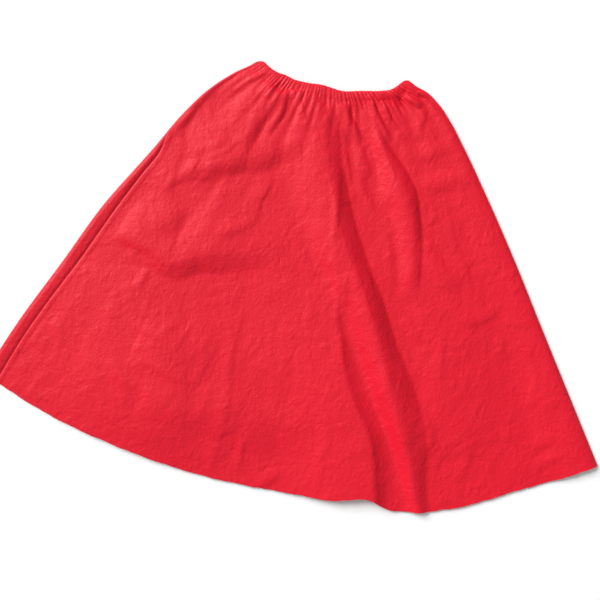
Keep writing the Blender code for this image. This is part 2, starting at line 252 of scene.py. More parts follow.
# Folds that run across the front: how far down the crest is, its rise, and how wide each flank is
Across = namedtuple("Across", "angle down rise above below")
SHOULDER_FOLD = [
    Across(-26.5, 286, 0.0, 36, 14),
    Across(-24.5, 250, 2.8, 48, 20),
    Across(-21.4, 220, 4.4, 58, 26),
    Across(-18.9, 195, 4.6, 68, 32),
    Across(-16.1, 172, 4.4, 72, 34),
    Across(-12.7, 155, 4.6, 72, 34),
    Across(-9.2, 132, 4.2, 62, 34),
    Across(-5.4, 107, 2.4, 48, 32),
    Across(-2.5, 88, 0.0, 36, 26),
]
LEFT_PINCH = [
    Across(-25.5, 440, 0.0, 30, 14),
    Across(-23.0, 430, 2.0, 60, 17),
    Across(-20.5, 420, 5.6, 100, 21),
    Across(-18.2, 400, 7.8, 130, 31),
    Across(-16.0, 374, 7.8, 130, 38),
    Across(-12.5, 356, 6.2, 120, 38),
    Across(-9.0, 343, 3.8, 100, 34),
    Across(-5.0, 333, 1.2, 80, 30),
    Across(-1.0, 330, 0.0, 70, 30),
]

# Listed creases: how high each rises, how wide its soft flank and its steep flank are, and the places,
# as down and angle, that the middle of its steep flank passes through. The steep flank is on the left of
# someone who walks along it.
Crease = namedtuple("Crease", "rise soft steep path")
CREASES = [
    # Left shoulder
    Crease(2.5, 15, 17, [(83, -29.5), (127, -30.1), (184, -29.8)]),
    Crease(1.9, 48, 15, [(132, -29.9), (182, -29.5), (216, -27), (270, -25.6), (324, -23.8)]),
    Crease(1.7, 11, 6, [(9, -18.8), (27, -20.7), (43, -22.3)]),
    Crease(0.7, 19, 6, [(39, -21.1), (63, -23.4), (80, -27.3)]),
    Crease(3.9, 23, 10, [(12, -14.8), (34, -15.3), (58, -16.5)]),
    Crease(4.6, 27, 11, [(18, -12), (42, -11.4), (68, -11), (92, -11.8), (118, -12.6)]),
    Crease(6.0, 80, 22, [(32, -12.6), (46, -13.2), (68, -13.9), (97, -15.1), (126, -15.8), (160, -16.2)]),
    Crease(1.2, 10, 5, [(14, -10.4), (24, -9.6), (34, -8.6)]),
    Crease(1.7, 13, 6, [(17, -7.5), (34, -7.5), (51, -6), (67, -4.7)]),
    Crease(2.8, 40, 18, [(155, -19.5), (170, -21), (194, -23.4), (226, -25.8)]),
    Crease(0.5, 27, 6, [(163, -21.3), (174, -24.7), (173, -27.1)]),
    Crease(0.5, 23, 6, [(118, -18), (134, -19.7), (144, -21.5)]),
    Crease(1.5, 30, 10, [(152, -18.1), (178, -19.5), (204, -22.1), (209, -24.9)]),
    Crease(1.2, 17, 8, [(208, -23.2), (226, -23.3), (246, -23.4)]),
    Crease(1.5, 30, 8, [(181, -9.4), (211, -8.9), (237, -9.7), (265, -9.7), (297, -9.9)]),
    Crease(1.5, 30, 11, [(295, -9.9), (311, -12.4), (332, -14.8)]),
    Crease(2.7, 48, 27, [(305, -21), (338, -21.3), (378, -22.7)]),
    Crease(1.0, 15, 8, [(11, -3.6), (31, -2.5), (47, 0.4)]),
    Crease(3.0, 70, 46, [(8, -5.4), (20, -4.8), (51, -3.4), (84, -2.0)]),
    Crease(0.5, 15, 5, [(108, -5.1), (141, -4.1), (183, -3.4)]),
    Crease(0.3, 11, 5, [(174, -0.5), (167, -2), (159, -3.4)]),
    # Between the long folds and right shoulder
    Crease(4.3, 19, 10, [(27, 4.8), (52, 6.3), (78, 8), (103, 9.2)]),
    Crease(2.8, 23, 15, [(99, 9), (136, 10.4), (169, 11.4)]),
    Crease(1.2, 15, 8, [(164, 8.7), (197, 9.6), (232, 11.5)]),
    Crease(1.0, 15, 10, [(275, 13.1), (320, 13.4), (386, 13.2)]),
    Crease(4.0, 16, 7, [(12, 12.2), (29, 12.9), (50, 13.7), (75, 14.8), (104, 16.0)]),
    Crease(3.6, 12, 6, [(12, 15.2), (37, 16.1), (60, 16.9), (84, 18.1)]),
    Crease(3.0, 10, 6, [(9, 18.3), (25, 19.3), (42, 20.3)]),
    Crease(0.8, 15, 5, [(84, 19.1), (102, 18.2), (121, 16.8)]),
    Crease(4.2, 13, 8, [(42, 27.6), (31, 24.8), (18, 22.3)]),
    Crease(3.6, 13, 8, [(58, 25.0), (44, 23.1), (29, 21.0)]),
    Crease(1.5, 23, 10, [(39, 26.8), (67, 26), (93, 23.8), (118, 22.5)]),
    Crease(0.8, 15, 8, [(55, 27.6), (67, 28.1), (80, 28.5)]),
    Crease(1.7, 27, 13, [(153, 29.5), (153, 25.8), (153, 22.5), (139, 17.3)]),
    Crease(2.4, 27, 23, [(226, 29.7), (215, 24.7), (216, 20.8)]),
    Crease(0.8, 17, 6, [(235, 24), (267, 24.2), (306, 23.8), (340, 24.1), (390, 24.2), (447, 23.9)]),
    Crease(1.2, 11, 8, [(246, 22.3), (270, 21.2), (276, 19.8), (260, 18.9)]),
    Crease(1.2, 13, 6, [(113, 5.5), (154, 6.4), (181, 6.9)]),
    Crease(1.9, 15, 8, [(145, 4.5), (202, 4.6), (254, 4.4), (284, 4.4)]),
    # Left side and pinch
    Crease(6.5, 100, 30, [(408, -19.8), (414, -23.0), (418, -25.2), (418, -28.2)]),
    Crease(1.9, 15, 10, [(440, -21.7), (464, -21.4), (494, -21.6)]),
    Crease(0.5, 15, 6, [(469, -23.3), (506, -21.7), (526, -19.7)]),
    Crease(1.2, 19, 10, [(553, -16.5), (556, -18.1), (553, -20.4)]),
    Crease(0.8, 15, 8, [(513, -15.2), (534, -16), (565, -16.5)]),
    Crease(0.5, 15, 6, [(490, -13.1), (525, -13.6), (565, -14.4)]),
    Crease(0.5, 15, 5, [(519, -10.5), (532, -11.1), (547, -11.7)]),
    Crease(1.2, 27, 8, [(450, -7.8), (486, -7.6), (526, -7.6), (573, -7.2), (620, -6.7), (694, -6.5)]),
    Crease(0.5, 15, 6, [(468, -5.1), (504, -4.3), (536, -3.2)]),
    Crease(0.5, 13, 6, [(449, -3.4), (501, -3), (547, -2.4)]),
    Crease(0.7, 13, 5, [(569, -1.1), (558, -2.3), (549, -4.3), (554, -5.8)]),
    Crease(0.5, 11, 5, [(456, -1.2), (456, -2.9)]),
    Crease(0.5, 11, 5, [(481, 0.5), (477, -1.1), (477, -2.8)]),
    Crease(1.5, 23, 10, [(623, -20.6), (637, -19.1), (646, -17.6), (651, -16.6)]),
    Crease(1.7, 23, 11, [(614, -11.4), (614, -13.5), (608, -15.6), (609, -17.7)]),
    Crease(0.8, 15, 6, [(702, -25.2), (728, -25.7), (751, -25.8), (774, -25.6)]),
    Crease(1.2, 19, 11, [(611, -27.8), (631, -26.7), (648, -25.5)]),
    Crease(6.0, 200, 120, [(430, -20.5), (550, -17.0), (660, -13.0), (790, -9.8)]),
    Crease(4.0, 60, 60, [(701, 1.7), (680, -4.8), (668, -10.4), (683, -15.7)]),
    Crease(3.4, 150, 55, [(720, 15.1), (677, 15.2), (603, 16.1), (527, 16.4), (449, 16.2), (371, 15.3),
                          (330, 15)]),
    Crease(0.8, 19, 8, [(637, -9.1), (673, -8.8)]),
    Crease(1.0, 23, 8, [(634, -6.3), (678, -6.5), (718, -6.6), (761, -6.8)]),
    Crease(1.4, 15, 8, [(683, -4), (707, -4.1), (749, -4)]),
    Crease(2.4, 23, 15, [(740, 0.2), (758, -0.8), (776, -1.6)]),
    Crease(5.0, 220, 150, [(715, -1), (712, -12), (700, -24)]),
    Crease(4.0, 110, 60, [(620, -10.7), (607, -14.5), (604, -18.9)]),
    Crease(3.0, 100, 70, [(722, -5.3), (719, -10.6), (725, -15.8)]),
    Crease(2.4, 60, 24, [(196, -14.5), (204, -18), (222, -21.5)]),
    # Middle
    Crease(0.8, 19, 6, [(558, 4.6), (596, 4.6)]),
    Crease(1.0, 23, 8, [(626, 5), (678, 4.5), (726, 4.1), (768, 4)]),
    Crease(0.5, 11, 5, [(619, 5), (627, 4.2), (639, 3.5)]),
    Crease(0.5, 15, 6, [(696, 8.1), (698, 6.3)]),
    Crease(0.5, 15, 6, [(333, -3.9), (341, -2.4), (361, -1.1)]),
    Crease(0.7, 15, 6, [(296, 2), (320, 2.9), (330, 5.1)]),
    Crease(0.5, 11, 6, [(349, 4.2), (339, 2.3)]),
    Crease(1.2, 19, 10, [(348, 6.5), (401, 6.1), (458, 6.5)]),
    Crease(0.8, 15, 8, [(373, 5.5), (430, 5.1), (465, 4.9)]),
    Crease(1.2, 27, 8, [(459, 5.7), (496, 6), (538, 6)]),
    Crease(0.8, 10, 4, [(481, 3), (490, 3.7), (503, 4.4)]),
    Crease(0.5, 10, 5, [(483, 5.7), (473, 4.4)]),
    # Right side
    Crease(1.0, 15, 8, [(439, 13.9), (458, 15.1), (494, 16.2)]),
    Crease(0.8, 15, 8, [(487, 15.8), (475, 14.8), (460, 13.9)]),
    Crease(0.5, 13, 5, [(427, 16.6), (447, 16.9), (458, 17.3)]),
    Crease(1.4, 19, 8, [(491, 19), (522, 18.3), (567, 17.9)]),
    Crease(2.5, 30, 19, [(304, 20), (340, 20.3), (375, 21.6), (391, 23.4)]),
    Crease(1.7, 23, 13, [(467, 27.3), (477, 25.2), (480, 22.4), (458, 20.8), (418, 19.1)]),
    Crease(1.0, 13, 8, [(511, 25.8), (535, 25.8), (561, 24.6)]),
    Crease(0.8, 11, 6, [(519, 21.8), (534, 21.2), (547, 20.3)]),
    Crease(0.7, 11, 6, [(513, 21.3), (516, 19.9), (504, 18.7)]),
    Crease(0.8, 17, 6, [(562, 28.4), (595, 28.4), (622, 28.1), (646, 27.1), (669, 26.1)]),
    Crease(0.5, 11, 6, [(447, 30.4), (445, 29)]),
    Crease(2.5, 27, 19, [(595, 14.6), (639, 15.3), (679, 15.6), (718, 14.7)]),
    Crease(1.5, 19, 10, [(693, 19.9), (733, 18.7), (766, 17.8)]),
    Crease(0.8, 15, 6, [(675, 22.8), (694, 23.3), (717, 23.9)]),
    Crease(1.4, 23, 10, [(742, 27.6), (742, 26.1), (742, 24.9)]),
    Crease(1.5, 23, 10, [(774, 27.7), (775, 26.2), (789, 24.7)]),
]

# Folds in the back that lift it a little off the surface it lies on
BACK_FOLDS = [
    [
        Down(70, -17, 0, 20, 14),
        Down(150, -19, 1.0, 30, 20),
        Down(330, -20, 1.2, 40, 26),
        Down(450, -19, 0, 30, 20),
    ],
    [
        Down(40, -6, 0, 16, 12),
        Down(130, -7, 1.1, 26, 18),
        Down(300, -9, 1.3, 36, 24),
        Down(560, -10, 1.0, 44, 30),
        Down(700, -10, 0, 40, 26),
    ],
    [
        Down(60, 4, 0, 16, 14),
        Down(160, 5, 1.2, 30, 20),
        Down(280, 7, 1.0, 34, 24),
        Down(420, 8, 0, 30, 20),
    ],
    [
        Down(320, 1, 0, 24, 20),
        Down(470, 0, 1.2, 40, 28),
        Down(640, -1, 1.3, 46, 32),
        Down(780, -1, 1.0, 46, 32),
    ],
    [
        Down(80, 15, 0, 18, 12),
        Down(190, 17, 1.1, 30, 22),
        Down(400, 18, 1.3, 44, 30),
        Down(640, 17, 1.1, 46, 32),
        Down(790, 17, 0.8, 44, 30),
    ],
    [
        Down(440, 24, 0, 24, 18),
        Down(560, 25, 1.1, 34, 24),
        Down(700, 25, 0, 34, 24),
    ],
]

# Rows of a casing half, from its sewn lower line up over the top fold and down its inner face: distance
# below the top, and how far the row stands out from the inner face
CasingRow = namedtuple("CasingRow", "below stand")
CASING_ROWS = [
    CasingRow(19.0, 0.995),
    CasingRow(18.3, 0.995),
    CasingRow(17.5, 0.99),
    CasingRow(16.9, 0.985),
    CasingRow(16.3, 0.99),
    CasingRow(15.0, 1.00),
    CasingRow(12.5, 1.02),
    CasingRow(9.5, 1.04),
    CasingRow(6.5, 1.03),
    CasingRow(4.0, 1.00),
    CasingRow(2.2, 0.95),
    CasingRow(1.0, 0.86),
    CasingRow(0.3, 0.72),
    CasingRow(0.0, 0.54),
    CasingRow(0.2, 0.34),
    CasingRow(0.7, 0.16),
    CasingRow(1.8, 0.04),
    CasingRow(4.0, 0.0),
    CasingRow(10.0, 0.0),
    CasingRow(18.6, 0.0),
]
SEWN_LINE = 16.9

COTTON = "crinkled cotton, plain woven and washed"
THREAD = "sewing thread, spun polyester"


class ClothSettings(bpy.types.PropertyGroup):
    wall: FloatProperty(
        name="Cloth thickness", description="Thickness of the cotton", default=0.0007, subtype="DISTANCE",
        unit="LENGTH",
    )
    crumple: FloatProperty(
        name="Crumple", description="How strongly the cloth is crumpled between its folds", default=1.0,
    )
    crinkle: FloatProperty(
        name="Crinkle", description="How strong the fine crinkle of the weave is", default=1.0,
    )
    across: IntProperty(
        name="Front columns", description="Cells across the front panel", default=270,
    )
    along: IntProperty(
        name="Front rows", description="Cells down the front panel", default=182,
    )
    back_across: IntProperty(
        name="Back columns", description="Cells across the back panel", default=190,
    )
    back_along: IntProperty(
        name="Back rows", description="Cells down the back panel", default=110,
    )


class GatherSettings(bpy.types.PropertyGroup):
    depth: FloatProperty(
        name="Gather depth", description="Depth of the valleys between gathers", default=0.0019,
        subtype="DISTANCE", unit="LENGTH",
    )
    around: IntProperty(
        name="Casing columns", description="Cells along each half of the casing", default=480,
    )
    stitch: FloatProperty(
        name="Stitch length", description="Length of a stitch in the sewn line", default=0.0026,
        subtype="DISTANCE", unit="LENGTH",
    )
    thread: FloatProperty(
        name="Thread radius", description="Radius of the sewing thread", default=0.00018,
        subtype="DISTANCE", unit="LENGTH",
    )


class StageSettings(bpy.types.PropertyGroup):
    key: FloatProperty(
        name="Key light", description="Strength of the soft light from the top left", default=3.9,
    )
    top: FloatProperty(
        name="Overhead light", description="Strength of the wide light from above", default=0.38,
    )
    fill: FloatProperty(
        name="Fill light", description="Strength of the light from all around", default=0.24,
    )
    view_height: FloatProperty(
        name="Camera height", description="Height of the camera above the floor", default=1.588,
        subtype="DISTANCE", unit="LENGTH",
    )


def table(rows, name):
    return np.array([getattr(row, name) for row in rows], float)


def curve(rows, key, name, at):
    """A smooth curve through the rows' values, level beyond the first and the last."""
    xs = table(rows, key)
    ys = table(rows, name)
    slopes = np.gradient(ys, xs)
    at = np.clip(np.asarray(at, float), xs[0], xs[-1])
    i = np.clip(np.searchsorted(xs, at, side="right") - 1, 0, len(xs) - 2)
    step = xs[i + 1] - xs[i]
    t = (at - xs[i]) / step
    start = ys[i] * (1 + 2 * t) * (1 - t) ** 2 + slopes[i] * step * t * (1 - t) ** 2
    end = ys[i + 1] * t**2 * (3 - 2 * t) + slopes[i + 1] * step * t**2 * (t - 1)
    return start + end


def ease(share):
    share = np.clip(share, 0, 1)
    return share * share * (3 - 2 * share)


def radius(down):
    return WAIST_RADIUS + down


def edge_angle(down, side):
    """The angle of the side edge: side is -1 on the left and 1 on the right."""
    left = -curve(EDGES, "down", "left", down)
    right = curve(EDGES, "down", "right", down)
    return np.where(side < 0, left, right)


def turn_radius(down):
    return curve(LEVELS, "down", "edge", down) / 2


def flank(distance, width, crest_power, foot_power):
    share = np.clip(np.abs(distance) / width, 0, 1)
    return (1 - share**crest_power) ** foot_power


def fold_down(rows, down, angle, crest_power, foot_power):
    """Height that a fold running down the skirt adds. Its left flank is soft, and the powers shape the
    right one."""
    crest = curve(rows, "down", "angle", down)
    lean = (curve(rows, "down", "angle", down + 1) - crest) * np.radians(1) * radius(down)
    distance = np.radians(angle - crest) * radius(down) / np.sqrt(1 + lean**2)
    left = flank(distance, curve(rows, "down", "left", down), 2, 2)
    right = flank(distance, curve(rows, "down", "right", down), crest_power, foot_power)
    inside = (down >= rows[0].down) & (down <= rows[-1].down)
    return inside * curve(rows, "down", "rise", down) * np.where(distance < 0, left, right)


def fold_across(rows, down, angle, crest_power, foot_power):
    """Height that a fold running across the skirt adds. Its upper flank is soft, and the powers shape the
    lower one."""
    crest = curve(rows, "angle", "down", angle)
    lean = (curve(rows, "angle", "down", angle + 0.1) - crest) / (np.radians(0.1) * radius(down))
    distance = (down - crest) / np.sqrt(1 + lean**2)
    above = flank(distance, curve(rows, "angle", "above", angle), 1.5, 2)
    below = flank(distance, curve(rows, "angle", "below", angle), crest_power, foot_power)
    inside = (angle >= rows[0].angle) & (angle <= rows[-1].angle)
    return inside * curve(rows, "angle", "rise", angle) * np.where(distance < 0, above, below)


def smooth_path(places):
    """Close points along a smooth line through the given places, in the plan."""
    down, angle = np.array(places, float).T
    x, y = plan(down, angle)
    marks = np.arange(len(x))
    fine = np.linspace(0, len(x) - 1, 6 * (len(x) - 1) + 1)
    Mark = namedtuple("Mark", "mark x y")
    rows = [Mark(*values) for values in zip(marks, x, y)]
    return curve(rows, "mark", "x", fine), curve(rows, "mark", "y", fine)


def crease_height(x, y):
    """Height that the listed creases add at points of the plan."""
    height = np.zeros_like(x)
    for crease in CREASES:
        path_x, path_y = smooth_path(crease.path)
        reach = crease.soft + crease.steep
        near = (x > path_x.min() - reach) & (x < path_x.max() + reach)
        near &= (y > path_y.min() - reach) & (y < path_y.max() + reach)
        px, py = x[near], y[near]
        least = np.full(px.shape, 1e9)
        away = np.zeros(px.shape)
        along = np.zeros(px.shape)
        count = len(path_x) - 1
        for k in range(count):
            ex, ey = path_x[k + 1] - path_x[k], path_y[k + 1] - path_y[k]
            length = np.hypot(ex, ey)
            t = np.clip(((px - path_x[k]) * ex + (py - path_y[k]) * ey) / length**2, 0, 1)
            dx, dy = px - path_x[k] - t * ex, py - path_y[k] - t * ey
            found = dx * dx + dy * dy
            closer = found < least
            least = np.where(closer, found, least)
            away = np.where(closer, np.sqrt(found) * np.sign(ex * dy - ey * dx), away)
            along = np.where(closer, (k + t) / count, along)
        away = away + crease.steep / 2
        soft = flank(away, crease.soft, 2, 2)
        steep = flank(away, crease.steep, 2, 1.5)
        fade = (4 * along * (1 - along)) ** 0.7
        height[near] += crease.rise * fade * np.where(away < 0, soft, steep)
    return height


def noise_field(x, y, across, along, seed):
    """Smooth noise from -1 to 1 over the plan, with swells of about the given width and length."""
    made = [
        noise.noise(Vector((a, b, 7.3 * seed)))
        for a, b in zip((x / across).ravel().tolist(), (y / along).ravel().tolist())
    ]
    return np.array(made).reshape(x.shape)


def facet_field(x, y, size, seed):
    """Facets of about the given size, as crumpled cloth has: 0 along their edges and higher inside."""
    made = []
    for a, b in zip((x / size).ravel().tolist(), (y / size).ravel().tolist()):
        near = noise.voronoi(Vector((a, b, 3.1 * seed)))[0]
        made.append(near[1] - near[0])
    return np.clip(np.array(made).reshape(x.shape), 0, 0.8)


def gather_share(across):
    """Turns a share of the width into a share of the gathers, which are unevenly wide."""
    small = 0.0038
    start = 1.3
    uneven = 0.0045 * np.sin(2 * np.pi * 5 * across) + small * np.sin(2 * np.pi * 11 * across + start)
    return across + uneven - small * np.sin(start)


def width_share(down, angle):
    left = edge_angle(down, -1)
    return np.clip((angle - left) / (edge_angle(down, 1) - left), 0, 1)


def casing_bottom(angle):
    return curve(WAISTLINE, "angle", "down", angle) + CASING_DEPTH


def hem_waver(angle):
    """The hem's edge wavers by less than a millimetre, and more in some stretches than in others."""
    return 0.45 * np.sin(1.9 * angle + 0.4) + 0.5 * np.sin(4.7 * angle + 1.3) * np.sin(0.73 * angle) ** 2


def gather_valleys(down, angle, seed):
    """Depth of the valleys between gathers, as a share of their full depth. They run on below the casing
    for uneven lengths, spread out and lean to either side."""
    chance = np.random.default_rng(seed)
    below = down - casing_bottom(angle)
    count = GATHERS * gather_share(width_share(down, angle))
    depth = np.zeros_like(count)
    for k in range(GATHERS - 1):
        long = chance.random() ** 2
        length = 10 + 40 * long
        lean = chance.normal(0, 0.012)
        strength = (0.55 + 0.75 * chance.random()) * curve(GATHER_DEPTHS, "gather", "share", k)
        deeper = 0.3 + 0.8 * long
        run = np.clip(below / length, 0, 1)
        on_casing = 0.35 + 0.65 * np.exp(np.minimum(below, 0) / 5)
        fade = np.where(below < 0, on_casing, (1 - run) ** 1.3 * (1 + deeper * np.minimum(below / 9, 1)))
        wide = 0.3 + 0.006 * np.maximum(below, 0)
        away = np.abs(count - (k + 1) - lean * np.maximum(below, 0)) / wide
        depth = np.maximum(depth, strength * fade * np.exp(-(away**1.7)))
    return depth


def swells(down, angle):
    """Wider swells that several gathers join into below the casing."""
    across = width_share(down, angle)
    turn = 2 * np.pi * GATHERS * gather_share(across)
    uneven = 1 + 0.25 * np.sin(2 * np.pi * 3.3 * across + 0.5)
    half = curve(LEVELS, "down", "half", down) * np.cos(turn / 2 + 0.6)
    quarter = curve(LEVELS, "down", "quarter", down) * np.cos(turn / 4 + 1.9)
    return (half + quarter) * uneven


def plan(down, angle):
    spread = radius(down)
    x = APEX_X + spread * np.sin(np.radians(angle))
    y = APEX_Y - spread * np.cos(np.radians(angle))
    return x, y


def front_height(down, angle, inward, amount):
    """Height of the front's outer face; inward is the distance from the side edge."""
    turn = turn_radius(down)
    height = curve(LEVELS, "down", "front", down)
    height = height + fold_down(MAIN_FOLD, down, angle, crest_power=1.5, foot_power=1.1)
    height = height + fold_down(SECOND_FOLD, down, angle, crest_power=2, foot_power=1)
    height = height + fold_down(HEM_FOLD, down, angle, crest_power=1, foot_power=2)
    height = height + fold_down(MAIN_TROUGH, down, angle, crest_power=2, foot_power=2)
    height = height + fold_across(SHOULDER_FOLD, down, angle, crest_power=2, foot_power=1.5)
    height = height + fold_across(LEFT_PINCH, down, angle, crest_power=1.4, foot_power=1.1)
    x, y = plan(down, angle)
    below = np.maximum(down - casing_bottom(angle), 0)
    crumple = 0.8 * noise_field(x, y, 120, 150, 1) + 0.5 * noise_field(x, y, 42, 60, 2)
    crumple = crumple + 0.2 * noise_field(x, y, 17, 24, 3)
    warp = 16 * noise_field(x, y, 70, 70, 4)
    crumple = crumple + 1.0 * facet_field(x + warp, (y - warp) * 0.8, 85, 5)
    crumple = crumple + 0.5 * facet_field(x - warp, (y + warp) * 0.8, 34, 7) - 0.4
    height = height + amount * crumple * ease(below / 60)
    height = 2 * turn + (height - 2 * turn) * ease((inward - turn) / 35)
    height = height + crease_height(x, y) * ease((inward - turn) / 10) * ease((below + 4) / 6)
    off_edge = ease((inward - turn) / 4)
    height = height + fold_down(RIGHT_ROLL, down, angle, crest_power=2, foot_power=1) * off_edge
    height = height + fold_down(LEFT_HOLLOW, down, angle, crest_power=2, foot_power=2) * off_edge
    height = height + swells(down, angle) * ease((inward - turn) / 6)
    return np.maximum(height, 2.4)


def back_height(down, angle, inward, amount):
    """Height of the back's outer face: flat where it rests, with a few shallow folds that lift off."""
    height = 0.0 * down
    for rows in BACK_FOLDS:
        height = height + fold_down(rows, down, angle, crest_power=2, foot_power=1.5)
    x, y = plan(down, angle)
    below = np.maximum(down - casing_bottom(angle), 0)
    lift = np.maximum(noise_field(x, y, 60, 90, 11) - 0.05, 0)
    lift = lift + 0.5 * np.maximum(noise_field(x, y, 24, 34, 12), 0)
    height = (height + amount * 1.1 * lift) * ease(below / 40)
    return height * ease((inward - turn_radius(down)) / 25)


def ring_length(down):
    """Length of the outline over the front, from the left edge to the right one."""
    turn = turn_radius(down)
    return np.radians(edge_angle(down, 1) - edge_angle(down, -1)) * radius(down) + (np.pi - 2) * turn


def ring_angle(down, along, under):
    """Angle, distance in from the nearer edge, swing round that edge, and side, of a point on the outline.
    along is its distance from the left edge over the front, or beneath the back where under is true."""
    turn = turn_radius(down)
    quarter = turn * np.pi / 2
    length = ring_length(down)
    side = np.where(along < length / 2, -1, 1)
    out = np.where(side < 0, along, length - along) * (-1 if under else 1)
    swing = np.clip(out / turn, -np.pi / 2, np.pi / 2)
    inward = turn * (1 - np.cos(swing)) + np.maximum(np.abs(out) - quarter, 0)
    angle = edge_angle(down, side) - side * np.degrees(inward / radius(down))
    return angle, inward, swing, out


def settle_ring(down_at, along_at, under):
    """Each point's angle depends on how far down it is, and the other way round."""
    down = down_at(0.0 * along_at(np.zeros(1)))
    for _ in range(12):
        angle = ring_angle(down, along_at(down), under)[0]
        down = down_at(angle)
    along = along_at(down)
    angle, inward, swing, out = ring_angle(down, along, under)
    return down, angle, inward, swing, out, along


def ring_height(down, angle, inward, swing, out, amount, gather):
    """Height of the outline: the front on top, the back beneath, and a round turn at each edge."""
    turn = turn_radius(down)
    quarter = turn * np.pi / 2
    round_edge = turn + turn * np.sin(swing)
    valleys = gather * 1000 * gather_valleys(down, angle, 3) * ease((inward - turn) / 5)
    top = front_height(down, angle, inward, amount) + 0.4 * ease((inward - turn) / 5) - valleys
    valleys = gather * 1000 * gather_valleys(down, angle, 8) * ease((inward - turn) / 5)
    bottom = back_height(down, angle, inward, amount) + valleys * 0.9
    return np.where(out > quarter, top, np.where(out < -quarter, bottom, round_edge))


def place(down, angle, height):
    x, y = plan(down, angle)
    return np.stack([x, y, height], axis=-1) / 1000


def row_shares(count, top_step, top_count, length):
    """Shares down a panel: close rows through the gathers below the casing, then even ones to the hem."""
    close = np.arange(top_count) * top_step
    rest = np.linspace(top_count * top_step, length, count + 1 - top_count)
    return np.concatenate([close, rest]) / length


def panel_points(panel, columns, rows, cloth, gather):
    """Points of a panel's outer face, row by row from the casing to the hem. Its columns stand close
    together round the side edges."""
    shares = row_shares(rows, top_step=2.8, top_count=24, length=760)[:, None]
    steps = np.arange(columns + 1)[None, :]
    under = panel == "back"

    def along_at(down):
        down = np.broadcast_to(down, (rows + 1, columns + 1))
        inset = curve(SEAM_ROLL, "down", "inset", down)
        length = ring_length(down)
        gap = SEAM_GAP / 2
        if under:
            stops = [-inset + gap, 14 + 0 * inset, length - inset - 10, length - inset - gap]
            marks = [0, 26, columns - 8, columns]
        else:
            stops = [inset + gap, inset + 12, length - 14, length + inset - gap]
            marks = [0, 9, columns - 26, columns]
        made = np.zeros_like(down)
        for k in range(3):
            share = (steps - marks[k]) / (marks[k + 1] - marks[k])
            part = stops[k] + (stops[k + 1] - stops[k]) * share
            made = np.where((steps >= marks[k]) & (steps <= marks[k + 1]), part, made)
        return made

    def down_at(angle):
        top = casing_bottom(angle) + CASING_SEAM_GAP
        return top + (curve(HEM, "angle", panel, angle) + hem_waver(angle) - top) * shares

    down, angle, inward, swing, out, along = settle_ring(down_at, along_at, under)
    height = ring_height(down, angle, inward, swing, out, cloth.crumple, gather.depth)
    inset = curve(SEAM_ROLL, "down", "inset", down)
    rolled = np.clip(inset / 12, 0, 1)
    left_seam = np.abs(along - (-inset if under else inset))
    right_seam = np.abs(along - (ring_length(down) + (-inset if under else inset)))
    sink = np.exp(-((left_seam / 2.0) ** 2)) * 1.0 * rolled
    height = height - sink
    height = height + np.exp(-((right_seam / 2.2) ** 2)) * 1.0 * rolled * (out < 0)
    if under:
        flap = ease((out - 4) / 6) * ease(left_seam / 7)
        height = height + 0.9 * flap * rolled
    else:
        allowance = ease(left_seam / 3) * (1 - ease((left_seam - 8) / 3))
        height = height + 0.5 * allowance * rolled
    return place(down, angle, height)


def casing_points(half, columns, gather):
    """Points of a casing half: its outer face, the fold along its top, and its inner face."""
    under = half == "back"
    below = table(CASING_ROWS, "below")[:, None]
    stand = table(CASING_ROWS, "stand")[:, None]
    share = np.linspace(0, 1, columns + 1)[None, :]

    def along_at(down):
        down = np.broadcast_to(down, (len(CASING_ROWS), columns + 1))
        gap = 0.2 + 2.2 * np.clip(1 - stand / 0.6, 0, 1)
        return gap + (ring_length(down) - 2 * gap) * share

    def down_at(angle):
        return curve(WAISTLINE, "angle", "down", angle) + below

    down, angle, inward, swing, out, _ = settle_ring(down_at, along_at, under)
    height = ring_height(down, angle, inward, swing, out, 0, gather.depth)
    inner = turn_radius(0) + (-1 if under else 1) * CASING_INNER_GAP / 2
    height = inner + (height - inner) * stand
    scallop = 0.9 * gather_valleys(down, angle, 3) * ease(1 - below / 5) * ease((inward - 3) / 5)
    return place(down + scallop, angle, height)


def tube_points(centre, beside, thick):
    """Rings of points round a line, in the plane of beside and what stands square to it and the line."""
    ahead = np.gradient(centre, axis=0)
    ahead = ahead / np.linalg.norm(ahead, axis=1)[:, None]
    beside = beside - ahead * np.sum(beside * ahead, axis=1)[:, None]
    beside = beside / np.linalg.norm(beside, axis=1)[:, None]
    above = np.cross(beside, ahead)
    turn = np.linspace(0, 2 * np.pi, 7)
    rings = [centre + thick * (np.cos(t) * beside + np.sin(t) * above) for t in turn]
    return np.stack(rings, axis=0)


def thread_points(half, gather):
    """Points round the thread that is sewn along a casing half. It lies on the cloth in stitches and dips
    into it between them."""
    under = half == "back"
    count = int(SEWN_LENGTH / (gather.stitch * 1000))
    share = np.linspace(0, 1, 8 * count + 1)[None, :]

    def along_at(down):
        return 1.5 + (ring_length(down) - 3) * share

    def down_at(angle):
        return curve(WAISTLINE, "angle", "down", angle) + SEWN_LINE

    down, angle, inward, swing, out, _ = settle_ring(down_at, along_at, under)
    height = ring_height(down, angle, inward, swing, out, 0, gather.depth)
    up = -1 if under else 1
    inner = turn_radius(0) + up * CASING_INNER_GAP / 2
    height = inner + (height - inner) * curve(CASING_ROWS[:8][::-1], "below", "stand", SEWN_LINE)
    from_end = np.abs((share * count + 0.5) % 1 - 0.5) * gather.stitch * 1000
    dip = -0.04 - 0.76 * np.exp(-((from_end / 0.4) ** 2))
    centre = place(down, angle, height + up * dip)[0]
    beside = place(down + 1, angle, height)[0] - place(down, angle, height)[0]
    return tube_points(centre, beside, gather.thread)


